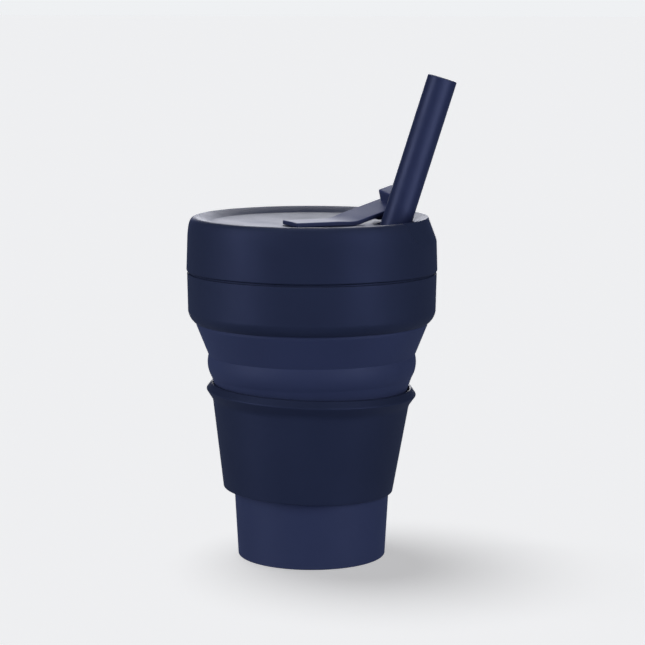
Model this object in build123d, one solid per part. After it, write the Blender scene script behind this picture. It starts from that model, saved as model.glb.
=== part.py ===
from build123d import *
import math
import os

# A collapsible travel cup with a lid, a stopper and a drinking straw.
#
# Millimetres and degrees. +Z is up, the origin is the centre of the cup's underside,
# and the straw leans towards +X. The cup is one silicone moulding, cut into nodes
# where its walls fold, so that each section can travel on its own.

# ---- Driving dimensions -------------------------------------------------------------

# Silicone cup, from the table upwards. Radii are of the outer face.
BASE_RADIUS = 28.95
BASE_TOP_RADIUS = 30.4
BASE_TOP = 26.0
FLOOR_TOP = 3.3
CUP_WALL = 2.1
FOLD_WALL = 1.4
LOWER_RING_BOTTOM = 38.25
LOWER_RING_BOTTOM_RADIUS = 32.5
LOWER_RING_TOP = 62.0
LOWER_RING_TOP_RADIUS = 36.0
BULGE_RADIUS = 40.8
CREASE_HEIGHT = 79.9
CREASE_RADIUS = 40.4
BAND_RADIUS = 45.3
BAND_BOTTOM = 97.0
RIM_TOP = 126.7

# Rigid collar round the mouth, and the neck that stands up inside the lid.
COLLAR_BOTTOM = 92.9
COLLAR_TOP = 112.1
COLLAR_RADIUS = 48.6
COLLAR_BORE = 45.4
NECK_RADIUS = 46.3
NECK_TOP = 124.0

# Heat sleeve, which hangs slightly askew and off centre.
SLEEVE_BOTTOM = 26.3
SLEEVE_BOTTOM_RADIUS = 33.3
SLEEVE_TOP_RADIUS = 38.5
SLEEVE_WALL = 1.3
LIP_RADIUS = 41.15
SLEEVE_TILT = 1.8
SLEEVE_SHIFT = -0.3
SLEEVE_PIVOT_HEIGHT = 62.0

# Lid.
LID_BOTTOM = 112.85
LID_TOP = 133.7
LID_RADIUS = 48.85
LID_BORE = 46.9
DISH_RADIUS = 39.2
DISH_EDGE = 131.6
DISH_CENTRE = 129.9
LID_PLATE = 2.1
SCOOP_HALF_WIDTH = 30.0
SCOOP_BOTTOM = 124.7
SCOOP_TOP_RADIUS = 45.1

# Straw, and the hole in the lid that it passes through.
STRAW_RADIUS = 5.78
STRAW_BORE = 4.0
STRAW_LEAN = 17.3
STRAW_LENGTH = 190.2
STRAW_FOOT_CLEARANCE = 0.6
STRAW_AXIS_X = 32.5
STRAW_AXIS_Z = 130.5
HOLE_X = 32.35
HOLE_RADIUS = 6.65

# Stopper: a pad held by a button in the lid's centre, a hinge, and a lifted strap.
STOPPER_TURN = 24.0
STRAP_LIFT = 17.0
STRAP_ROLL = 8.0
STRAP_WIDTH = 14.5
STRAP_THICKNESS = 1.7
PAD_BOTTOM = 130.2
PAD_REACH_BACK = 9.4
HINGE_DISTANCE = 13.0
HINGE_HALF_LENGTH = 4.5
PLUG_DISTANCE = 32.5
STRAP_REACH = 41.0
PLUG_HEIGHT = 3.0
TAB_START = 33.2
TAB_HEIGHT = 4.5
TAB_WIDTH = 11.4
BUTTON_RADIUS = 5.5
STEM_RADIUS = 3.2
STEM_HOLE_RADIUS = 3.5

os.makedirs("parts", exist_ok=True)


def turned(*corners):
    """A solid of revolution about Z. Each corner is radius, height and its rounding."""
    outline = FilletPolyline(
        *[(corner[0], corner[1]) for corner in corners],
        radius=[corner[2] if len(corner) > 2 else 0 for corner in corners],
        close=True,
    )
    return revolve(Plane.XZ * make_face(outline.edges()), Axis.Z)


def turned_from(*lines):
    """A solid of revolution about Z from lines and arcs that close on each other."""
    edges = [edge for line in lines for edge in line.edges()]
    return revolve(Plane.XZ * make_face(edges), Axis.Z)


# ---- Silicone cup -------------------------------------------------------------------


def cup_base():
    """Bottom section: the floor, the foot it stands on and the straight wall."""
    top_wall = 1.9
    body = turned(
        (0, 0),
        (BASE_RADIUS, 0, 0.3),
        (BASE_TOP_RADIUS, BASE_TOP),
        (BASE_TOP_RADIUS - top_wall, BASE_TOP),
        (BASE_RADIUS - CUP_WALL, FLOOR_TOP, 3.5),
        (0, FLOOR_TOP),
    )
    groove = turned((20, -1), (23, -1), (23, 0.6, 0.4), (20, 0.6, 0.4))
    return body - groove


def cup_fold_lower():
    """Thin web that folds between the base and the section above, inside the sleeve."""
    return turned(
        (BASE_TOP_RADIUS - FOLD_WALL, BASE_TOP),
        (BASE_TOP_RADIUS, BASE_TOP),
        (LOWER_RING_BOTTOM_RADIUS, LOWER_RING_BOTTOM),
        (LOWER_RING_BOTTOM_RADIUS - FOLD_WALL, LOWER_RING_BOTTOM),
    )


def cup_wall_lower():
    """Stiff conical section that the heat sleeve fits round."""
    ring_wall = 1.65
    return turned(
        (LOWER_RING_BOTTOM_RADIUS - ring_wall, LOWER_RING_BOTTOM),
        (LOWER_RING_BOTTOM_RADIUS, LOWER_RING_BOTTOM),
        (LOWER_RING_TOP_RADIUS, LOWER_RING_TOP),
        (LOWER_RING_TOP_RADIUS - CUP_WALL, LOWER_RING_TOP),
    )


def cup_bulge():
    """Rounded section that shows between the sleeve and the crease."""
    inner_bottom = (LOWER_RING_TOP_RADIUS - CUP_WALL, LOWER_RING_TOP)
    outer_bottom = (LOWER_RING_TOP_RADIUS, LOWER_RING_TOP)
    outer_start = (39.2, 71.1)
    outer_top = (CREASE_RADIUS, CREASE_HEIGHT)
    inner_top = (CREASE_RADIUS - 1.7, CREASE_HEIGHT)
    inner_start = (37.0, 71.1)
    return turned_from(
        Polyline(inner_top, outer_top),
        ThreePointArc(outer_top, (BULGE_RADIUS, 76.8), outer_start),
        Polyline(outer_start, outer_bottom, inner_bottom, inner_start),
        ThreePointArc(inner_start, (BULGE_RADIUS - 2.1, 76.8), inner_top),
    )


def cup_flare():
    """Thin flared web above the crease, which turns inside out when the cup folds."""
    knee_height = 91.8
    return turned(
        (CREASE_RADIUS - FOLD_WALL, CREASE_HEIGHT),
        (CREASE_RADIUS, CREASE_HEIGHT),
        (BAND_RADIUS - 0.1, knee_height, 2.5),
        (BAND_RADIUS - 0.1, BAND_BOTTOM),
        (BAND_RADIUS - 0.1 - FOLD_WALL, BAND_BOTTOM),
        (BAND_RADIUS - 0.1 - FOLD_WALL, knee_height + 0.3, 2.5),
    )


def cup_rim():
    """Band inside the collar, with the bead over the neck that the lid seals on."""
    band_wall = 1.8
    return turned(
        (BAND_RADIUS - band_wall, BAND_BOTTOM),
        (BAND_RADIUS, BAND_BOTTOM),
        (BAND_RADIUS, NECK_TOP),
        (NECK_RADIUS, NECK_TOP),
        (NECK_RADIUS, RIM_TOP, 1.2),
        (BAND_RADIUS - band_wall, RIM_TOP, 1.2),
    )


# ---- Rigid mouldings ----------------------------------------------------------------


def collar():
    """Ring that stiffens the mouth: a visible band and a plain neck above it."""
    waist = (48.3, 97.2)
    lower_lip = (45.8, COLLAR_BOTTOM)
    return turned_from(
        Polyline(lower_lip, (COLLAR_BORE, COLLAR_BOTTOM), (COLLAR_BORE, NECK_TOP)),
        Polyline((COLLAR_BORE, NECK_TOP), (NECK_RADIUS, NECK_TOP), (NECK_RADIUS, COLLAR_TOP)),
        Polyline((NECK_RADIUS, COLLAR_TOP), (COLLAR_RADIUS - 0.5, COLLAR_TOP)),
        ThreePointArc(
            (COLLAR_RADIUS - 0.5, COLLAR_TOP),
            (COLLAR_RADIUS - 0.15, COLLAR_TOP - 0.15),
            (COLLAR_RADIUS, COLLAR_TOP - 0.5),
        ),
        Polyline((COLLAR_RADIUS, COLLAR_TOP - 0.5), waist),
        ThreePointArc(waist, (47.35, 94.6), lower_lip),
    )


def sleeve():
    """Heat sleeve: a plain cone with a thick sloping lip at the top."""
    upright = turned(
        (SLEEVE_BOTTOM_RADIUS - SLEEVE_WALL, SLEEVE_BOTTOM, 0.4),
        (SLEEVE_BOTTOM_RADIUS, SLEEVE_BOTTOM, 0.4),
        (SLEEVE_TOP_RADIUS, 61.2, 1.5),
        (LIP_RADIUS, 65.1, 0.6),
        (39.25, 67.75, 0.3),
        (38.45, 67.75, 0.15),
        (38.3, 65.6, 2.0),
        (SLEEVE_TOP_RADIUS - SLEEVE_WALL, 61.2, 2.0),
    )
    pivot = Location((0, 0, SLEEVE_PIVOT_HEIGHT))
    hung = pivot * Rotation(0, SLEEVE_TILT, 0) * pivot.inverse() * upright
    return Pos(SLEEVE_SHIFT, 0, 0) * hung


def lid_blank():
    """Lid before its holes and the drinking scoop are cut."""
    skirt_foot = (LID_RADIUS, LID_BOTTOM + 0.5)
    crest_inner = (44.6, LID_TOP - 0.06)
    outside = FilletPolyline(
        skirt_foot,
        (48.35, 128.2),
        (47.8, 131.35),
        (46.7, LID_TOP),
        (44.79, LID_TOP),
        crest_inner,
        radius=(30, 8, 2.4, 1.2),
    )
    ceiling = 129.6
    bore_top = (LID_BORE, 125.9)
    step_top = (45.5, 127.3)
    dish_edge = (DISH_RADIUS, DISH_EDGE)
    plate_edge = (DISH_RADIUS + 0.8, DISH_EDGE - LID_PLATE)
    return turned_from(
        Polyline((0, DISH_CENTRE - LID_PLATE), (0, DISH_CENTRE)),
        ThreePointArc((0, DISH_CENTRE), (DISH_RADIUS / 2, DISH_CENTRE + 0.35), dish_edge),
        ThreePointArc(dish_edge, (42.0, 132.8), crest_inner),
        outside,
        ThreePointArc(
            skirt_foot,
            (LID_RADIUS - 0.15, LID_BOTTOM + 0.15),
            (LID_RADIUS - 0.5, LID_BOTTOM),
        ),
        Polyline(
            (LID_RADIUS - 0.5, LID_BOTTOM),
            (LID_BORE, LID_BOTTOM),
            bore_top,
            step_top,
            (step_top[0], ceiling),
            plate_edge,
        ),
        ThreePointArc(
            plate_edge,
            (DISH_RADIUS / 2, DISH_CENTRE + 0.35 - LID_PLATE),
            (0, DISH_CENTRE - LID_PLATE),
        ),
    )


def drinking_scoop():
    """What is cut from the lid's edge on the drinking side to leave a slanted face."""
    slant = (LID_RADIUS - 0.35 - SCOOP_TOP_RADIUS) / (LID_TOP - SCOOP_BOTTOM)
    above = 2.0
    outside_cone = turned(
        (SCOOP_TOP_RADIUS - slant * above, LID_TOP + above),
        (SCOOP_TOP_RADIUS + slant * (LID_TOP - SCOOP_BOTTOM), SCOOP_BOTTOM),
        (LID_RADIUS + 5, SCOOP_BOTTOM),
        (LID_RADIUS + 5, LID_TOP + above),
    )
    window_height = 30
    window = Pos(0, SCOOP_BOTTOM + window_height / 2) * RectangleRounded(
        2 * SCOOP_HALF_WIDTH, window_height, 8
    )
    return outside_cone & extrude(Plane.YZ * window, LID_RADIUS + 5)


def lid():
    """Press-on lid with a dished top, a drinking hole and the stopper's button hole."""
    drinking_hole = Pos(HOLE_X, 0, DISH_CENTRE) * Cylinder(HOLE_RADIUS, 12)
    button_hole = Pos(0, 0, DISH_CENTRE) * Cylinder(STEM_HOLE_RADIUS, 12)
    return lid_blank() - drinking_scoop() - drinking_hole - button_hole


def lid_seal():
    """Silicone ring under the lid's edge, pressed on the cup's rim bead."""
    return turned(
        (42.7, 127.0, 0.6),
        (45.3, 127.0, 0.6),
        (45.3, 129.5, 0.2),
        (42.7, 129.5, 0.2),
    )


# ---- Stopper ------------------------------------------------------------------------

PAD_MIDDLE = PAD_BOTTOM + STRAP_THICKNESS / 2
turned_frame = Location((0, 0, 0), (0, 0, STOPPER_TURN))

# The strap's own frame: origin on the hinge line, x along the strap, z out of its top.
strap_frame = (
    turned_frame
    * Location((HINGE_DISTANCE, 0, PAD_MIDDLE))
    * Rotation(0, -STRAP_LIFT, 0)
    * Rotation(STRAP_ROLL, 0, 0)
)


def along_strap(distance):
    """Place along the strap's frame for a distance measured from the lid's centre."""
    return distance - HINGE_DISTANCE


def stopper_anchor():
    """Flat pad on the lid, with the button under it that snaps through the lid."""
    reach_front = HINGE_DISTANCE - HINGE_HALF_LENGTH
    length = PAD_REACH_BACK + reach_front
    centre_x = (reach_front - PAD_REACH_BACK) / 2
    pad = Pos(centre_x, 0, PAD_MIDDLE) * Box(length, STRAP_WIDTH, STRAP_THICKNESS)
    back_corners = pad.edges().filter_by(Axis.Z).group_by(Axis.X)[0]
    pad = fillet(back_corners, 1.0)
    flange_top = DISH_CENTRE - LID_PLATE - 0.35
    button = turned(
        (0, PAD_BOTTOM),
        (STEM_RADIUS, PAD_BOTTOM),
        (STEM_RADIUS, flange_top),
        (BUTTON_RADIUS, flange_top, 0.4),
        (STEM_RADIUS + 0.3, flange_top - 1.6, 0.5),
        (0, flange_top - 1.6),
    )
    return turned_frame * (pad + button)


def stopper_hinge():
    """Bent length of the strap between the pad and the lifted end."""
    pad_end = turned_frame * Location((HINGE_DISTANCE - HINGE_HALF_LENGTH, 0, PAD_MIDDLE))
    strap_end = strap_frame * Location((HINGE_HALF_LENGTH, 0, 0))
    section = Plane.YZ * Rectangle(STRAP_WIDTH, STRAP_THICKNESS)
    return loft([pad_end * section, strap_end * section], ruled=True)


def stopper_strap():
    """Lifted end of the strap, which carries the plug and the pull tab."""
    start = HINGE_HALF_LENGTH
    end = along_strap(STRAP_REACH)
    slab = Pos((start + end) / 2, 0, 0) * Box(end - start, STRAP_WIDTH, STRAP_THICKNESS)
    end_corners = slab.edges().filter_by(Axis.Z).group_by(Axis.X)[-1]
    slab = fillet(end_corners, 6.0)
    return strap_frame * slab


def stopper_plug():
    """Plug that closes the drinking hole, with a sealing rib round it."""
    top = -STRAP_THICKNESS / 2
    plug = turned(
        (0, top),
        (5.9, top),
        (5.9, top - 1.0),
        (6.3, top - 1.5, 0.2),
        (5.9, top - 2.0),
        (5.6, top - PLUG_HEIGHT, 0.5),
        (0, top - PLUG_HEIGHT),
    )
    return strap_frame * Location((along_strap(PLUG_DISTANCE), 0, 0)) * plug


def stopper_tab():
    """Raised block at the strap's end that a fingertip pulls."""
    start = along_strap(TAB_START)
    end = along_strap(STRAP_REACH) - 0.4
    bottom = STRAP_THICKNESS / 2
    block = Pos((start + end) / 2, 0, bottom + TAB_HEIGHT / 2) * Box(
        end - start, TAB_WIDTH, TAB_HEIGHT
    )
    block = fillet(block.edges().filter_by(Axis.Z).group_by(Axis.X)[-1], 2.5)
    top_rim = block.faces().sort_by(Axis.Z)[-1].edges()
    return strap_frame * fillet(top_rim, 0.6)


# ---- Straw --------------------------------------------------------------------------

LEAN = math.radians(STRAW_LEAN)
foot_height = FLOOR_TOP + STRAW_FOOT_CLEARANCE + STRAW_RADIUS * math.sin(LEAN)
foot_x = STRAW_AXIS_X - (STRAW_AXIS_Z - foot_height) * math.tan(LEAN)


def straw():
    """Silicone straw that stands on the cup's floor and leans out of the lid."""
    tube = turned(
        (STRAW_BORE, 0, 0.3),
        (STRAW_RADIUS, 0, 0.3),
        (STRAW_RADIUS, STRAW_LENGTH, 0.5),
        (STRAW_BORE, STRAW_LENGTH, 0.5),
    )
    return Location((foot_x, 0, foot_height)) * Rotation(0, STRAW_LEAN, 0) * tube


# ---- Output -------------------------------------------------------------------------

MAKERS = [
    cup_base,
    cup_fold_lower,
    cup_wall_lower,
    cup_bulge,
    cup_flare,
    cup_rim,
    collar,
    sleeve,
    lid,
    lid_seal,
    stopper_anchor,
    stopper_hinge,
    stopper_strap,
    stopper_plug,
    stopper_tab,
    straw,
]

for maker in MAKERS:
    export_step(maker(), f"parts/{maker.__name__}.step")
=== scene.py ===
import math

import bmesh
import bpy
from mathutils import Matrix, Vector


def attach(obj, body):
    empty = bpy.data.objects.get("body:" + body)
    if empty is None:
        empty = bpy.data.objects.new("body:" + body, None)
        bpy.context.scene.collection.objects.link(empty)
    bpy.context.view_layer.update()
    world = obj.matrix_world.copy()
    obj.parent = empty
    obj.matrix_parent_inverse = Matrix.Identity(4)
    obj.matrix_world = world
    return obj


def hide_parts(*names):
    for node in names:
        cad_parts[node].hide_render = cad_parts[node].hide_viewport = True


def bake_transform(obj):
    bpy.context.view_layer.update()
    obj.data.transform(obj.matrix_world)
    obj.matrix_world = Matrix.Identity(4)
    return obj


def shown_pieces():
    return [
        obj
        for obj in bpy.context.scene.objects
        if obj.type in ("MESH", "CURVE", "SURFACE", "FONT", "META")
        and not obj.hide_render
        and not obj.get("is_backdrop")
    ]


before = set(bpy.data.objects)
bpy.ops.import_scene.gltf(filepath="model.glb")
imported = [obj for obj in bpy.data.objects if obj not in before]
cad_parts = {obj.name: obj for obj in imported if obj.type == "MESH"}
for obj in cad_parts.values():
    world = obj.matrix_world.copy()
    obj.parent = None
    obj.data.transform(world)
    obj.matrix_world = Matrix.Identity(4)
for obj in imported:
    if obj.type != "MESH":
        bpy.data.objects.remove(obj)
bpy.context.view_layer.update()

MM = 0.001

# ---- Dimensions repeated from the CAD source, in millimetres ---------------------------
BASE_RADIUS = 28.95
BASE_TOP_RADIUS = 30.4
FLOOR_TOP = 3.3
FOLD_START = 26.0
FOLD_END = 38.25
FOLD_END_RADIUS = 32.5
LOWER_RING_TOP = 62.0
LOWER_RING_TOP_RADIUS = 36.0
BULGE_RADIUS = 40.8
CREASE_HEIGHT = 79.9
CREASE_RADIUS = 40.4
RIM_TOP = 126.7

COLLAR_BOTTOM = 92.9
COLLAR_TOP = 112.1
COLLAR_RADIUS = 48.6
COLLAR_BORE = 45.4
NECK_RADIUS = 46.3
NECK_TOP = 124.0

SLEEVE_BOTTOM = 26.3
SLEEVE_BOTTOM_RADIUS = 33.3
SLEEVE_TOP_RADIUS = 38.5
LIP_RADIUS = 41.15
SLEEVE_TILT = 1.8
SLEEVE_SHIFT = -0.3
SLEEVE_PIVOT_HEIGHT = 62.0

LID_BOTTOM = 112.85
LID_TOP = 133.7
LID_RADIUS = 48.85
LID_BORE = 46.9
DISH_RADIUS = 39.2
DISH_EDGE = 131.6
SCOOP_HALF_WIDTH = 30.0
SCOOP_BOTTOM = 124.7
SCOOP_TOP_RADIUS = 45.1
HOLE_X = 32.35
HOLE_RADIUS = 6.65

STRAW_RADIUS = 5.78
STRAW_BORE = 4.0
STRAW_LEAN = 17.3
STRAW_LENGTH = 190.2
STRAW_FOOT_CLEARANCE = 0.6
STRAW_AXIS_X = 32.5
STRAW_AXIS_Z = 130.5

STOPPER_TURN = 24.0
STRAP_LIFT = 17.0
STRAP_ROLL = 8.0
STRAP_WIDTH = 14.5
STRAP_THICKNESS = 1.7
PAD_MIDDLE = 131.05
PAD_REACH_BACK = 9.4
HINGE_DISTANCE = 13.0
HINGE_HALF_LENGTH = 4.5
STRAP_REACH = 41.0
PLUG_DISTANCE = 32.5
PLUG_HEIGHT = 3.0
TAB_START = 33.2
TAB_HEIGHT = 4.5
TAB_WIDTH = 11.4
BUTTON_RADIUS = 5.5
STEM_RADIUS = 3.2


# ---- Outlines ---------------------------------------------------------------------------


def arc(a, b, c, steps):
    """Points of the circular arc from a through b to c, ends included."""
    ax, ay, bx, by, cx, cy = *a, *b, *c
    d = 2 * (ax * (by - cy) + bx * (cy - ay) + cx * (ay - by))
    aa, bb, cc = ax**2 + ay**2, bx**2 + by**2, cx**2 + cy**2
    ux = (aa * (by - cy) + bb * (cy - ay) + cc * (ay - by)) / d
    uy = (aa * (cx - bx) + bb * (ax - cx) + cc * (bx - ax)) / d
    radius = math.hypot(ax - ux, ay - uy)
    start, middle, end = (math.atan2(p[1] - uy, p[0] - ux) for p in (a, b, c))
    sweep = (end - start) % math.tau
    if (middle - start) % math.tau > sweep:
        sweep -= math.tau
    return [
        (
            ux + radius * math.cos(start + sweep * i / steps),
            uy + radius * math.sin(start + sweep * i / steps),
        )
        for i in range(steps + 1)
    ]


def rounded(corners, closed=True, run=1.6, support=0.22, most=0.49, turn_step=9):
    """Outline through corners of radius, height and rounding, with arcs at the roundings.

    Straight runs get a point close to each end, which keeps their shading flat, and
    further points at most run apart, so that they bend smoothly where a piece folds.
    A rounding takes up at most the share given by most of the runs beside it.
    """
    count = len(corners)
    pieces = []
    for i, corner in enumerate(corners):
        here = Vector(corner[:2])
        size = corner[2] if len(corner) > 2 else 0
        at_end = not closed and i in (0, count - 1)
        if at_end or size <= 0:
            pieces.append([here])
            continue
        back = Vector(corners[i - 1][:2]) - here
        on = Vector(corners[(i + 1) % count][:2]) - here
        half = back.angle(on) / 2
        reach = min(size / math.tan(half), back.length * most, on.length * most)
        size = reach * math.tan(half)
        back.normalize()
        on.normalize()
        centre = here + (back + on).normalized() * (size / math.sin(half))
        first = here + back * reach - centre
        last = here + on * reach - centre
        turn = first.angle_signed(last)
        steps = max(4, math.ceil(abs(turn) / math.radians(turn_step)))
        pieces.append(
            [
                centre + Matrix.Rotation(-turn * k / steps, 2) @ first
                for k in range(steps + 1)
            ]
        )
    points = []
    for i, piece in enumerate(pieces):
        points += [tuple(p) for p in piece]
        if not closed and i == count - 1:
            break
        start, end = piece[-1], pieces[(i + 1) % count][0]
        length = (end - start).length
        if length < 3 * support:
            continue
        marks = [support / length, 1 - support / length]
        extra = math.ceil((length - 2 * support) / run)
        marks += [
            (support + (length - 2 * support) * k / extra) / length for k in range(1, extra)
        ]
        points += [tuple(start.lerp(end, mark)) for mark in sorted(marks)]
    return points


def tidy_points(points):
    """The same outline without points that repeat their neighbour."""
    kept = []
    for p in points:
        if not kept or math.dist(p, kept[-1]) > 1e-4:
            kept.append(p)
    if math.dist(kept[0], kept[-1]) < 1e-4:
        kept.pop()
    return kept


# ---- Meshes -----------------------------------------------------------------------------


def mm(*point):
    """A point given in millimetres, in metres."""
    return tuple(value * MM for value in point)


def mesh_object(name, points, faces):
    mesh = bpy.data.meshes.new(name)
    mesh.from_pydata(points, [], faces)
    mesh.validate()
    mesh.update()
    mesh.shade_smooth()
    obj = bpy.data.objects.new(name, mesh)
    bpy.context.scene.collection.objects.link(obj)
    return obj


SHARP_ANGLE = math.radians(40)


def turned(name, outline, angles=256, shape=None):
    """Turns a closed outline about Z. Points on the axis become single poles.

    angles is a number of equal steps or a list of angles, and shape gives a point's
    radius from its outline radius, angle and height.
    """
    outline = tidy_points(outline)
    if isinstance(angles, int):
        angles = [math.tau * k / angles for k in range(angles)]
    points, faces, rings = [], [], []
    for radius, height in outline:
        if radius < 1e-6:
            rings.append([len(points)])
            points.append((0, 0, height * MM))
            continue
        ring = []
        for angle in angles:
            r = radius if shape is None else shape(radius, angle, height)
            ring.append(len(points))
            points.append((r * MM * math.cos(angle), r * MM * math.sin(angle), height * MM))
        rings.append(ring)
    count = len(angles)
    for i in range(len(rings)):
        a, b = rings[i - 1], rings[i]
        if len(a) == 1 and len(b) == 1:
            continue
        for k in range(count):
            n = (k + 1) % count
            if len(a) == 1:
                faces.append((a[0], b[k], b[n]))
            elif len(b) == 1:
                faces.append((a[n], a[k], b[0]))
            else:
                faces.append((a[k], b[k], b[n], a[n]))
    obj = mesh_object(name, points, faces)
    face_out(obj)
    obj.data.set_sharp_from_angle(angle=SHARP_ANGLE)
    return obj


def combine(obj, other, operation):
    """Joins other to a mesh, or cuts it out, and removes other."""
    step = obj.modifiers.new("combine", "BOOLEAN")
    step.operation = operation
    step.solver = "EXACT"
    step.object = other
    apply_modifiers(obj)
    bpy.data.objects.remove(other)


def face_out(obj):
    """Turns every face of a closed mesh outwards."""
    work = bmesh.new()
    work.from_mesh(obj.data)
    bmesh.ops.recalc_face_normals(work, faces=work.faces)
    if work.calc_volume(signed=True) < 0:
        bmesh.ops.reverse_faces(work, faces=work.faces)
    work.to_mesh(obj.data)
    work.free()
    obj.data.update()


def apply_modifiers(obj):
    """Replaces the object's mesh with what its modifiers make of it."""
    graph = bpy.context.evaluated_depsgraph_get()
    mesh = bpy.data.meshes.new_from_object(obj.evaluated_get(graph))
    obj.modifiers.clear()
    obj.data = mesh


# ---- Materials --------------------------------------------------------------------------


MOTTLE = 0.05


def moulded(name, colour, roughness, tint, specular, grain, grain_depth, sheen=0.0):
    """Moulded plastic or silicone: fine surface grain, a slow ripple and uneven gloss.

    grain is the scale of the surface grain's noise, and grain_depth its height in millimetres.
    """
    material = bpy.data.materials.new(name)
    material.use_nodes = True
    nodes, links = material.node_tree.nodes, material.node_tree.links
    shader = nodes["Principled BSDF"]
    shader.inputs["Specular IOR Level"].default_value = specular
    shader.inputs["Specular Tint"].default_value = (*tint, 1)
    shader.inputs["Sheen Weight"].default_value = sheen
    shader.inputs["Sheen Roughness"].default_value = 0.45
    shader.inputs["Sheen Tint"].default_value = (0.45, 0.55, 1.0, 1)

    place = nodes.new("ShaderNodeTexCoord")
    noise_low, noise_high = 0.3, 0.7

    def noise(scale, detail, rough=0.5):
        node = nodes.new("ShaderNodeTexNoise")
        node.inputs["Scale"].default_value = scale
        node.inputs["Detail"].default_value = detail
        node.inputs["Roughness"].default_value = rough
        links.new(place.outputs["Object"], node.inputs["Vector"])
        return node.outputs["Fac"]

    def ranged(source, low, high):
        node = nodes.new("ShaderNodeMapRange")
        node.inputs["From Min"].default_value = noise_low
        node.inputs["From Max"].default_value = noise_high
        node.inputs["To Min"].default_value = low
        node.inputs["To Max"].default_value = high
        links.new(source, node.inputs["Value"])
        return node.outputs["Result"]

    cloud = noise(38, 3)
    grit = noise(grain, 2, 0.6)

    ramp = nodes.new("ShaderNodeValToRGB")
    ramp.color_ramp.elements[0].position = noise_low
    ramp.color_ramp.elements[1].position = noise_high
    ramp.color_ramp.elements[0].color = (*[c * (1 - MOTTLE) for c in colour], 1)
    ramp.color_ramp.elements[1].color = (*[c * (1 + MOTTLE) for c in colour], 1)
    links.new(cloud, ramp.inputs["Fac"])
    links.new(ramp.outputs["Color"], shader.inputs["Base Color"])

    slow_change, fine_change = 0.03, 0.04
    slow = ranged(noise(95, 4), roughness - slow_change, roughness + slow_change)
    uneven = nodes.new("ShaderNodeMath")
    uneven.operation = "ADD"
    links.new(slow, uneven.inputs[0])
    links.new(ranged(grit, -fine_change, fine_change), uneven.inputs[1])
    links.new(uneven.outputs["Value"], shader.inputs["Roughness"])

    fine = nodes.new("ShaderNodeBump")
    fine.inputs["Strength"].default_value = 0.35
    fine.inputs["Distance"].default_value = grain_depth * MM
    links.new(grit, fine.inputs["Height"])
    ripple = nodes.new("ShaderNodeBump")
    ripple.inputs["Strength"].default_value = 0.25
    ripple.inputs["Distance"].default_value = 0.12 * MM
    links.new(noise(210, 1), ripple.inputs["Height"])
    links.new(fine.outputs["Normal"], ripple.inputs["Normal"])
    links.new(ripple.outputs["Normal"], shader.inputs["Normal"])
    return material


CUP_BLUE = (0.0265, 0.0350, 0.0830)
SILICONE_TINT = (0.50, 0.58, 1.0)
SILICONE_GRAIN = 2600

cup_material = moulded(
    "cup_silicone_matte",
    CUP_BLUE,
    roughness=0.60,
    tint=SILICONE_TINT,
    specular=0.30,
    grain=SILICONE_GRAIN,
    grain_depth=0.030,
    sheen=0.06,
)
rigid_material = moulded(
    "rigid_satin",
    (0.0160, 0.0214, 0.0450),
    roughness=0.52,
    tint=(0.33, 0.42, 1.0),
    specular=0.26,
    grain=4200,
    grain_depth=0.022,
)
seal_material = moulded(
    "seal_silicone_smooth",
    CUP_BLUE,
    roughness=0.5,
    tint=SILICONE_TINT,
    specular=0.30,
    grain=SILICONE_GRAIN,
    grain_depth=0.02,
)
stopper_material = moulded(
    "stopper_silicone_satin",
    (0.0255, 0.0320, 0.0800),
    roughness=0.55,
    tint=SILICONE_TINT,
    specular=0.35,
    grain=SILICONE_GRAIN,
    grain_depth=0.02,
    sheen=0.05,
)
straw_material = moulded(
    "straw_silicone_satin",
    (0.0115, 0.0160, 0.0460),
    roughness=0.45,
    tint=(0.48, 0.56, 1.0),
    specular=0.40,
    grain=SILICONE_GRAIN,
    grain_depth=0.015,
    sheen=0.04,
)


def dress(obj, material):
    """Gives a piece its material, in its one material slot."""
    obj.data.materials.clear()
    obj.data.materials.append(material)


# ---- Silicone cup -----------------------------------------------------------------------


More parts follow.
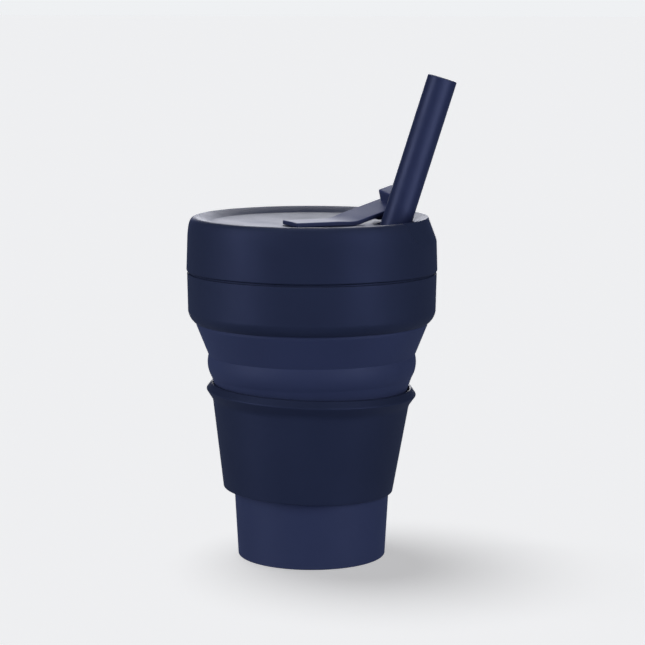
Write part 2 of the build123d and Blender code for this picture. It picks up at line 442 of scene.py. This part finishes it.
def cup_pieces():
    """The one-piece silicone cup, as two meshes that meet at the crease."""
    bulge_foot = (39.2, 71.1)
    inner_bulge_foot = (37.0, 71.1)
    crease = (CREASE_RADIUS, CREASE_HEIGHT)
    inner_crease = (CREASE_RADIUS - 1.7, CREASE_HEIGHT)
    bulge_height = 76.8
    bulge_out = arc(bulge_foot, (BULGE_RADIUS, bulge_height), crease, 16)
    bulge_in = arc(inner_crease, (38.7, bulge_height), inner_bulge_foot, 12)
    groove_inner, groove_outer, groove_depth = 20, 23, 0.6
    lower = (
        rounded(
            [
                (0, 0),
                (groove_inner, 0, 0.4),
                (groove_inner, groove_depth, 0.25),
                (groove_outer, groove_depth, 0.25),
                (groove_outer, 0, 0.4),
                (BASE_RADIUS, 0, 0.4),
                (BASE_TOP_RADIUS, FOLD_START, 1.5),
                (FOLD_END_RADIUS, FOLD_END, 1.5),
                (LOWER_RING_TOP_RADIUS, LOWER_RING_TOP, 2.5),
                bulge_foot,
            ],
            closed=False,
        )
        + bulge_out
        + bulge_in
        + rounded(
            [
                inner_bulge_foot,
                (33.9, LOWER_RING_TOP, 2.5),
                (30.85, FOLD_END, 1.5),
                (28.5, FOLD_START, 1.5),
                (26.85, FLOOR_TOP, 3.5),
                (0, FLOOR_TOP),
            ],
            closed=False,
        )
    )
    lower_piece = turned("cup_lower_wall", lower, 240)
    dress(lower_piece, cup_material)
    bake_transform(lower_piece)
    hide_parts("cup_base", "cup_fold_lower", "cup_wall_lower", "cup_bulge")

    band, bead, bead_bottom = 45.2, 46.25, 124.2
    upper = rounded(
        [
            (CREASE_RADIUS - 1.5, CREASE_HEIGHT),
            crease,
            (band, 91.8, 2.5),
            (band, bead_bottom),
            (bead, bead_bottom),
            (bead, RIM_TOP, 1.2),
            (43.5, RIM_TOP, 1.2),
            (43.7, 92.3, 2.5),
        ],
        run=1.0,
    )
    upper_piece = turned("cup_upper_wall", upper, 240)
    dress(upper_piece, cup_material)
    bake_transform(upper_piece)
    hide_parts("cup_flare", "cup_rim")


# ---- Rigid mouldings --------------------------------------------------------------------


def collar_piece():
    """The stiff ring round the mouth, with its neck inside the lid."""
    waist = (48.3, 97.2)
    lower_lip = (45.85, COLLAR_BOTTOM)
    ledge_radius, ledge_height = 47.8, 112.7
    outline = (
        arc(waist, (47.35, 94.6), lower_lip, 10)
        + rounded(
            [
                lower_lip,
                (COLLAR_BORE, COLLAR_BOTTOM, 0.15),
                (COLLAR_BORE, NECK_TOP, 0.2),
                (NECK_RADIUS, NECK_TOP, 0.3),
                (NECK_RADIUS, ledge_height, 0.1),
                (ledge_radius, ledge_height, 0.15),
                (ledge_radius, COLLAR_TOP, 0.2),
                (COLLAR_RADIUS, COLLAR_TOP, 0.4),
                waist,
            ],
            closed=False,
        )
    )
    piece = turned("collar_ring", outline, 256)
    dress(piece, rigid_material)
    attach(piece, "collar")
    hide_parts("collar")


def sleeve_piece():
    """The heat sleeve, hanging slightly askew."""
    flare_height, lip_top = 61.2, 67.75
    outline = rounded(
        [
            (32.0, SLEEVE_BOTTOM, 0.4),
            (SLEEVE_BOTTOM_RADIUS, SLEEVE_BOTTOM, 0.4),
            (SLEEVE_TOP_RADIUS, flare_height, 5.0),
            (LIP_RADIUS, 65.1, 0.6),
            (39.25, lip_top, 0.3),
            (38.45, lip_top, 0.15),
            (38.3, 65.6, 2.0),
            (37.2, flare_height, 2.0),
        ]
    )
    piece = turned("heat_sleeve", outline, 256)
    pivot = Vector(mm(0, 0, SLEEVE_PIVOT_HEIGHT))
    turn = Matrix.Rotation(math.radians(SLEEVE_TILT), 4, "Y")
    tilt = Matrix.Translation(pivot) @ turn @ Matrix.Translation(-pivot)
    piece.data.transform(Matrix.Translation(mm(SLEEVE_SHIFT, 0, 0)) @ tilt)
    dress(piece, rigid_material)
    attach(piece, "sleeve")
    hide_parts("sleeve")


SCOOP_BOTTOM_RADIUS = 48.5
SCOOP_CORNER = 8.0
SCOOP_EDGE_SLOPE = 2.5
SCOOP_EDGE_SOFTNESS = 0.3
CREST_START_RADIUS = 44.6
CEILING_TOP = 129.6


def scooped(radius, angle, height):
    """Radius of the lid's outer face once the slanted drinking face is cut in it."""
    in_dish = radius < CREST_START_RADIUS
    under_scoop = height < SCOOP_BOTTOM - 3
    at_back = math.cos(angle) < 0
    inside_skirt = radius < LID_BORE + 0.05 and height < CEILING_TOP + 0.1
    if in_dish or under_scoop or at_back or inside_skirt:
        return radius
    across = abs(radius * math.sin(angle)) - (SCOOP_HALF_WIDTH - SCOOP_CORNER)
    below = (SCOOP_BOTTOM + SCOOP_CORNER) - height
    rounding = math.hypot(max(across, 0), max(below, 0))
    outside = rounding + min(max(across, below), 0) - SCOOP_CORNER
    slant = (SCOOP_BOTTOM_RADIUS - SCOOP_TOP_RADIUS) / (LID_TOP - SCOOP_BOTTOM)
    face = SCOOP_TOP_RADIUS + slant * (LID_TOP - height)
    limit = face + SCOOP_EDGE_SLOPE * max(outside, 0)
    blend = max(SCOOP_EDGE_SOFTNESS - abs(radius - limit), 0) / SCOOP_EDGE_SOFTNESS
    return min(radius, limit) - blend * blend * SCOOP_EDGE_SOFTNESS / 4


def lid_angles():
    """Angles of the lid's mesh, closer together across the drinking face's upright ends."""
    fine, coarse = 0.2, 1.2
    ends_from, ends_to = 37, 43
    angles = []
    angle = -180.0
    while angle < 180 - 1e-6:
        angles.append(math.radians(angle))
        angle += fine if ends_from <= abs(angle + 0.01) <= ends_to else coarse
    return sorted(set(round(a, 7) for a in angles))


def hole_cutter():
    """What the drinking hole takes out of the lid: the bore and its rounded upper edge."""
    wide = HOLE_RADIUS + 3
    cut_top, cut_bottom = 135.5, 126.0
    edge, plate_top = 0.45, 131.14
    edge_top = (HOLE_RADIUS + edge, plate_top)
    edge_middle = (HOLE_RADIUS + edge * 0.29, 131.0 + edge * 0.29)
    edge_bottom = (HOLE_RADIUS, plate_top - edge)
    outline = (
        [(0, cut_top), (wide, cut_top), (HOLE_RADIUS + edge, plate_top + 0.02)]
        + arc(edge_top, edge_middle, edge_bottom, 6)
        + [(HOLE_RADIUS, 128.7), (wide, cut_bottom), (0, cut_bottom)]
    )
    cutter = turned("drinking_hole_cutter", outline, 96)
    cutter.data.transform(Matrix.Translation(mm(HOLE_X, 0, 0)))
    return cutter


def lid_piece():
    """The lid: a dished plate with a rounded edge, a skirt and the slanted drinking face."""
    button_edge = (3.5, 129.92)
    dish_edge = (DISH_RADIUS, DISH_EDGE)
    crest_start = (CREST_START_RADIUS, 133.64)
    top = (
        arc(button_edge, (19.6, 130.25), dish_edge, 44)
        + arc(dish_edge, (42.0, 132.8), crest_start, 20)
    )
    side = [
        crest_start,
        (44.79, LID_TOP, 1.2),
        (46.7, LID_TOP, 2.4),
        (47.8, 131.35, 8),
        (48.35, 128.2, 30),
    ]
    foot = [
        (LID_RADIUS, LID_BOTTOM, 0.5),
        (LID_BORE, LID_BOTTOM, 0.3),
        (LID_BORE, 125.9, 0.4),
    ]
    ceiling_edge = (40.0, 129.5)
    ceiling = [(45.5, 127.3, 0.4), (45.5, CEILING_TOP, 0.3), ceiling_edge]
    skirt = rounded(side + foot + ceiling, closed=False, run=0.9, most=0.8, turn_step=4)
    under = arc(ceiling_edge, (19.6, 128.15), (3.5, 127.82), 30)
    piece = turned("lid_shell", top + skirt + under, lid_angles(), scooped)
    combine(piece, hole_cutter(), "DIFFERENCE")
    piece.data.shade_smooth()
    dress(piece, rigid_material)
    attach(piece, "lid")
    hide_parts("lid")


def seal_piece():
    """The hidden silicone ring under the lid's edge."""
    inner, outer, low, high = 42.7, 45.3, 127.0, 129.5
    outline = rounded(
        [
            (inner, low, 0.6),
            (outer, low, 0.6),
            (outer, high, 0.3),
            (inner, high, 0.3),
        ]
    )
    piece = turned("lid_seal_ring", outline, 192)
    dress(piece, seal_material)
    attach(piece, "lid")
    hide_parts("lid_seal")


# ---- Stopper ----------------------------------------------------------------------------


def strap_point(along, across, up):
    """Place in the row frame of a point on the stopper, given along its bent strap.

    along is the distance from the lid's centre, across is towards its left edge, and up
    is out of its top face.
    """
    begin, end = HINGE_DISTANCE - HINGE_HALF_LENGTH, HINGE_DISTANCE + HINGE_HALF_LENGTH
    share = min(max((along - begin) / (end - begin), 0), 1)
    lift = math.radians(STRAP_LIFT) * share
    ease = share * share * (3 - 2 * share)
    roll = math.radians(STRAP_ROLL) * ease
    full = math.radians(STRAP_LIFT)
    a = (begin, PAD_MIDDLE)
    b = (HINGE_DISTANCE, PAD_MIDDLE)
    c = (
        HINGE_DISTANCE + HINGE_HALF_LENGTH * math.cos(full),
        PAD_MIDDLE + HINGE_HALF_LENGTH * math.sin(full),
    )
    if along <= begin:
        middle, slope = (along, PAD_MIDDLE), 0.0
    elif along >= end:
        beyond = along - end
        middle = (c[0] + beyond * math.cos(full), c[1] + beyond * math.sin(full))
        slope = full
    else:
        middle = tuple(
            (1 - share) ** 2 * a[k] + 2 * share * (1 - share) * b[k] + share**2 * c[k]
            for k in range(2)
        )
        slope = lift
    turn = (
        Matrix.Rotation(math.radians(STOPPER_TURN), 4, "Z")
        @ Matrix.Translation((middle[0], 0, middle[1]))
        @ Matrix.Rotation(-slope, 4, "Y")
        @ Matrix.Rotation(roll, 4, "X")
    )
    return turn @ Vector((0, across, up)) * MM


def corner_cut(distance, radius):
    """How far a rounded corner stands in, at a distance from the end it rounds."""
    if distance >= radius:
        return 0.0
    return radius - math.sqrt(max(radius**2 - (radius - distance) ** 2, 0))


def strap_stations():
    """Distances along the strap at which its mesh has a section, closer at its ends."""
    head = [0.0, 0.04, 0.12, 0.25, 0.45, 0.7]
    tail = [6.2, 5.4, 4.6, 3.8, 3.0, 2.3, 1.7, 1.2, 0.8, 0.5, 0.28, 0.12, 0.04, 0.0]
    step = 0.35
    first = -PAD_REACH_BACK + 1.0
    count = int((STRAP_REACH - 6.5 - first) / step)
    stations = [-PAD_REACH_BACK + distance for distance in head]
    stations += [first + step * k for k in range(count + 1)]
    last = stations[-1]
    stations += [STRAP_REACH - t for t in tail if STRAP_REACH - t > last + 0.05]
    return stations


def strap_body():
    """The strap as a closed mesh with rounded edges and rounded ends."""
    half_width, half_thickness = STRAP_WIDTH / 2, STRAP_THICKNESS / 2
    edge, back_corner, front_corner = 0.25, 0.4, 6.0
    section_steps = 8
    points, rings = [], []
    for along in strap_stations():
        from_back, from_front = along + PAD_REACH_BACK, STRAP_REACH - along
        wide = half_width - max(
            corner_cut(from_back, back_corner), corner_cut(from_front, front_corner)
        )
        thick = half_thickness - max(corner_cut(from_back, edge), corner_cut(from_front, edge))
        wide = max(wide, 0.6)
        thick = max(thick, half_thickness - edge)
        size = min(edge, thick * 0.98, wide)
        ring = []
        for quadrant, (sx, sy) in enumerate([(1, 1), (-1, 1), (-1, -1), (1, -1)]):
            for k in range(section_steps + 1):
                angle = math.pi / 2 * (quadrant + k / section_steps)
                across = sx * (wide - size) + size * math.cos(angle)
                up = sy * (thick - size) + size * math.sin(angle)
                ring.append(len(points))
                points.append(tuple(strap_point(along, across, up)))
        rings.append(ring)
    faces = [tuple(reversed(rings[0])), tuple(rings[-1])]
    size = len(rings[0])
    for a, b in zip(rings, rings[1:]):
        for k in range(size):
            n = (k + 1) % size
            faces.append((a[k], a[n], b[n], b[k]))
    obj = mesh_object("stopper_strap_body", points, faces)
    face_out(obj)
    return obj


def on_strap(obj, along):
    """Moves a piece modelled at the origin, in millimetres, on to the strap."""
    origin = strap_point(along, 0, 0)
    x_axis = (strap_point(along + 1, 0, 0) - origin).normalized()
    z_axis = (strap_point(along, 0, 1) - origin).normalized()
    y_axis = z_axis.cross(x_axis)
    matrix = Matrix((x_axis, y_axis, z_axis)).transposed().to_4x4()
    matrix.translation = origin
    obj.data.transform(matrix)


def rounded_block(name, low, high, size, front_size):
    """A block with rounded edges, in millimetres, as a closed mesh in metres.

    front_size is the rounding of its two upright edges on the +X side.
    """
    work = bmesh.new()
    bmesh.ops.create_cube(work, size=1)
    centre = [(low[k] + high[k]) / 2 for k in range(3)]
    for v in work.verts:
        v.co = Vector([(centre[k] + v.co[k] * (high[k] - low[k])) * MM for k in range(3)])
    front = [
        e for e in work.edges
        if all(v.co.x > centre[0] * MM for v in e.verts)
        and abs(e.verts[0].co.y - e.verts[1].co.y) < 1e-9
    ]
    bmesh.ops.bevel(
        work, geom=front, offset=front_size * MM, segments=8, profile=0.5, affect="EDGES"
    )
    sharp = [e for e in work.edges if e.calc_face_angle(0) > 1.0]
    bmesh.ops.bevel(
        work, geom=sharp, offset=size * MM, segments=5, profile=0.5, affect="EDGES"
    )
    mesh = bpy.data.meshes.new(name)
    work.to_mesh(mesh)
    work.free()
    obj = bpy.data.objects.new(name, mesh)
    bpy.context.scene.collection.objects.link(obj)
    return obj


def plug_body():
    """The plug under the strap, with a small bead round it."""
    underside = -STRAP_THICKNESS / 2
    radius, bead_radius = 5.9, 6.3
    outline = rounded(
        [
            (0, 0),
            (radius, 0),
            (radius, underside - 1.0, 0.2),
            (bead_radius, underside - 1.5, 0.2),
            (radius, underside - 2.0, 0.2),
            (5.6, underside - PLUG_HEIGHT, 0.5),
            (0, underside - PLUG_HEIGHT),
        ],
        closed=False,
    )
    plug = turned("stopper_plug_body", outline, 96)
    on_strap(plug, PLUG_DISTANCE)
    return plug


def tab_body():
    """The pull tab on top of the strap."""
    length, sunk = 7.4, 0.3
    low = (0, -TAB_WIDTH / 2, -sunk)
    high = (length, TAB_WIDTH / 2, STRAP_THICKNESS / 2 + TAB_HEIGHT)
    tab = rounded_block("stopper_tab_body", low, high, size=0.7, front_size=2.5)
    on_strap(tab, TAB_START)
    return tab


def button_body():
    """The button that the pad turns on, with its head under the lid's plate."""
    stem_top, head_top, head_bottom = 131.0, 127.45, 125.85
    outline = rounded(
        [
            (0, stem_top),
            (STEM_RADIUS, stem_top),
            (STEM_RADIUS, head_top, 0.2),
            (BUTTON_RADIUS, head_top, 0.4),
            (3.5, head_bottom, 0.5),
            (0, head_bottom),
        ],
        closed=False,
    )
    return turned("stopper_button_body", outline, 96)


def stopper_piece():
    """The one-piece stopper: its bodies are joined, remeshed evenly and softened."""
    joined = strap_body()
    bodies = [plug_body(), tab_body(), button_body()]
    for body in bodies:
        combine(joined, body, "UNION")
    remesh = joined.modifiers.new("even", "REMESH")
    remesh.mode = "VOXEL"
    remesh.voxel_size = 0.17 * MM
    apply_modifiers(joined)
    smooth = joined.modifiers.new("soften", "SMOOTH")
    smooth.factor = 0.5
    smooth.iterations = 3
    apply_modifiers(joined)
    joined.name = "stopper_moulding"
    joined.data.shade_smooth()
    dress(joined, stopper_material)
    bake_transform(joined)
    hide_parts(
        "stopper_anchor", "stopper_hinge", "stopper_strap", "stopper_plug", "stopper_tab"
    )


# ---- Straw ------------------------------------------------------------------------------


def straw_piece():
    """The leaning straw, which stops just short of the cup's floor."""
    outline = rounded(
        [
            (STRAW_BORE, 0, 0.3),
            (STRAW_RADIUS, 0, 0.4),
            (STRAW_RADIUS, STRAW_LENGTH, 0.6),
            (STRAW_BORE, STRAW_LENGTH, 0.5),
        ],
        run=6,
    )
    piece = turned("drinking_straw", outline, 96)
    lean = math.radians(STRAW_LEAN)
    foot_height = FLOOR_TOP + STRAW_FOOT_CLEARANCE + STRAW_RADIUS * math.sin(lean)
    foot_x = STRAW_AXIS_X - (STRAW_AXIS_Z - foot_height) * math.tan(lean)
    foot = Matrix.Translation(mm(foot_x, 0, foot_height))
    piece.data.transform(foot @ Matrix.Rotation(lean, 4, "Y"))
    dress(piece, straw_material)
    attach(piece, "straw")
    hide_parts("straw")


cup_pieces()
collar_piece()
sleeve_piece()
lid_piece()
seal_piece()
stopper_piece()
straw_piece()


# ---- Floor, light and camera ------------------------------------------------------------


FLOOR_GLOW = 0.488


def floor_piece():
    """The plain pale floor. It glows a little, and the object doesn't reflect it."""
    size = 60.0
    corners = [(-size, -size, 0), (size, -size, 0), (size, size, 0), (-size, size, 0)]
    floor = mesh_object("floor", corners, [(0, 1, 2, 3)])
    material = bpy.data.materials.new("pale_floor")
    material.use_nodes = True
    nodes, links = material.node_tree.nodes, material.node_tree.links
    shader = nodes["Principled BSDF"]
    shader.inputs["Roughness"].default_value = 0.9
    shader.inputs["Specular IOR Level"].default_value = 0.0
    place = nodes.new("ShaderNodeTexCoord")
    noise = nodes.new("ShaderNodeTexNoise")
    noise.inputs["Scale"].default_value = 3.0
    ramp = nodes.new("ShaderNodeValToRGB")
    ramp.color_ramp.elements[0].color = (0.796, 0.806, 0.818, 1)
    ramp.color_ramp.elements[1].color = (0.804, 0.814, 0.826, 1)
    shader.inputs["Emission Color"].default_value = (1.0, 0.985, 0.95, 1)
    shader.inputs["Emission Strength"].default_value = FLOOR_GLOW
    links.new(place.outputs["Object"], noise.inputs["Vector"])
    links.new(noise.outputs["Fac"], ramp.inputs["Fac"])
    links.new(ramp.outputs["Color"], shader.inputs["Base Color"])
    floor.data.materials.append(material)
    floor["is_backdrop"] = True
    floor.visible_diffuse = False
    floor.visible_glossy = False
    return floor


LIGHT_TARGET = (0, 0, 0.09)


def collection_of(name, objects):
    """A collection outside the scene, for a light's receivers."""
    group = bpy.data.collections.new(name)
    for obj in objects:
        group.objects.link(obj)
    return group


def softbox(name, place, size, power, receivers, colour=(1, 1, 1), fill=False):
    """A rectangular light aimed at the cup, which lights only its receivers.

    A fill adds diffuse light only, so that it makes no highlights.
    """
    data = bpy.data.lights.new(name, "AREA")
    data.shape = "RECTANGLE"
    data.size, data.size_y = size
    data.energy = power
    data.color = colour
    if fill:
        data.specular_factor = 0.0
    lamp = bpy.data.objects.new(name, data)
    bpy.context.scene.collection.objects.link(lamp)
    lamp.location = place
    aim = Vector(LIGHT_TARGET) - Vector(place)
    lamp.rotation_euler = aim.to_track_quat("-Z", "Y").to_euler()
    lamp.light_linking.receiver_collection = receivers
    return lamp


def around(azimuth, distance, height):
    """Place at an azimuth counted from the camera's side towards +X."""
    a = math.radians(azimuth)
    return (distance * math.sin(a), -distance * math.cos(a), height)


def receivers_of(group_name, *names):
    """The visible pieces with these names, as a light's receivers."""
    return collection_of(group_name, [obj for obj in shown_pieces() if obj.name in names])


def object_lights():
    """Soft boxes for the cup. Some light only the pieces that need them."""
    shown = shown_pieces()
    everything = collection_of("object_only", shown)
    walls = collection_of(
        "walls_only", [obj for obj in shown if obj.name not in ("lid_shell", "stopper_moulding")]
    )
    stopper = receivers_of("stopper_only", "stopper_moulding")
    straw = receivers_of("straw_only", "drinking_straw")
    rigid = receivers_of("rigid_only", "collar_ring", "heat_sleeve")
    lid = receivers_of("lid_only", "lid_shell")
    tall = (0.55, 1.1)
    softbox("strip_left", around(-65, 1.0, 0.3), tall, 8.3, everything)
    softbox("strip_right", around(49, 1.0, 0.3), tall, 7.7, everything)
    softbox("back_box", around(180, 0.7, 1.0), (0.8, 0.8), 3, walls)
    softbox("top_box", (0, 0.1, 1.1), (0.8, 0.8), 3.2, everything)
    front = softbox("front_fill", around(0, 1.2, 0.35), (0.9, 0.9), 1.2, everything, fill=True)
    front.data.use_shadow = False
    softbox("low_back", around(180, 1.3, 0.40), (1.2, 0.25), 1.0, lid, (0.32, 0.40, 1.0))
    softbox("strap_top", (0, 0, 0.9), (0.6, 0.6), 2.0, stopper, (1.0, 0.95, 1.0))
    softbox("back_fill", around(180, 1.1, 0.3), (0.5, 1.1), 8, everything, fill=True)
    low = softbox("low_fill", around(0, 1.1, -0.4), (0.9, 0.9), 0.7, rigid, fill=True)
    low.data.use_shadow = False
    softbox("straw_side", around(27, 1.0, 0.3), (0.45, 1.1), 3.2, straw)


def floor_light(floor):
    """A broad sun that lights the floor only and casts the cup's soft shadow on it."""
    sun_data = bpy.data.lights.new("floor_light", "SUN")
    sun_data.energy = 1.42
    sun_data.angle = math.radians(32)
    sun = bpy.data.objects.new("floor_light", sun_data)
    bpy.context.scene.collection.objects.link(sun)
    sun.rotation_euler = (math.radians(-11), math.radians(-12), 0)
    sun.light_linking.receiver_collection = collection_of("floor_only", [floor])


def surroundings():
    """A pale background for the camera, and a dim bluish sky for everything else."""
    world = bpy.data.worlds.new("studio")
    bpy.context.scene.world = world
    world.use_nodes = True
    nodes, links = world.node_tree.nodes, world.node_tree.links
    seen = nodes["Background"]
    seen.inputs["Color"].default_value = (0.863, 0.879, 0.896, 1)
    ambient = nodes.new("ShaderNodeBackground")
    place = nodes.new("ShaderNodeTexCoord")
    split = nodes.new("ShaderNodeSeparateXYZ")
    height = nodes.new("ShaderNodeMapRange")
    height.inputs["From Min"].default_value = -1.0
    height.inputs["From Max"].default_value = 0.4
    glow = nodes.new("ShaderNodeValToRGB")
    stops = glow.color_ramp.elements
    stops[0].color = (0.22, 0.25, 0.34, 1)
    stops[1].color = (0.025, 0.035, 0.065, 1)
    stops.new(0.5).color = (0.14, 0.165, 0.24, 1)
    stops.new(0.714).color = (0.080, 0.105, 0.20, 1)
    links.new(place.outputs["Generated"], split.inputs["Vector"])
    links.new(split.outputs["Z"], height.inputs["Value"])
    links.new(height.outputs["Result"], glow.inputs["Fac"])
    links.new(glow.outputs["Color"], ambient.inputs["Color"])
    path = nodes.new("ShaderNodeLightPath")
    mix = nodes.new("ShaderNodeMixShader")
    links.new(path.outputs["Is Camera Ray"], mix.inputs["Fac"])
    links.new(ambient.outputs["Background"], mix.inputs[1])
    links.new(seen.outputs["Background"], mix.inputs[2])
    links.new(mix.outputs["Shader"], nodes["World Output"].inputs["Surface"])


def camera():
    """The camera, in front and a little above, looking slightly down."""
    down, roll = math.radians(8.2), math.radians(-0.12)
    data = bpy.data.cameras.new("camera")
    data.sensor_width = 36
    data.lens = 121.7
    cam = bpy.data.objects.new("camera", data)
    bpy.context.scene.collection.objects.link(cam)
    cam.location = (0.0039, -0.844, 0.2136)
    cam.rotation_euler = (math.pi / 2 - down, roll, 0)
    bpy.context.scene.camera = cam


stage = floor_piece()
object_lights()
floor_light(stage)
surroundings()
camera()
bpy.context.scene.view_settings.view_transform = "Standard"
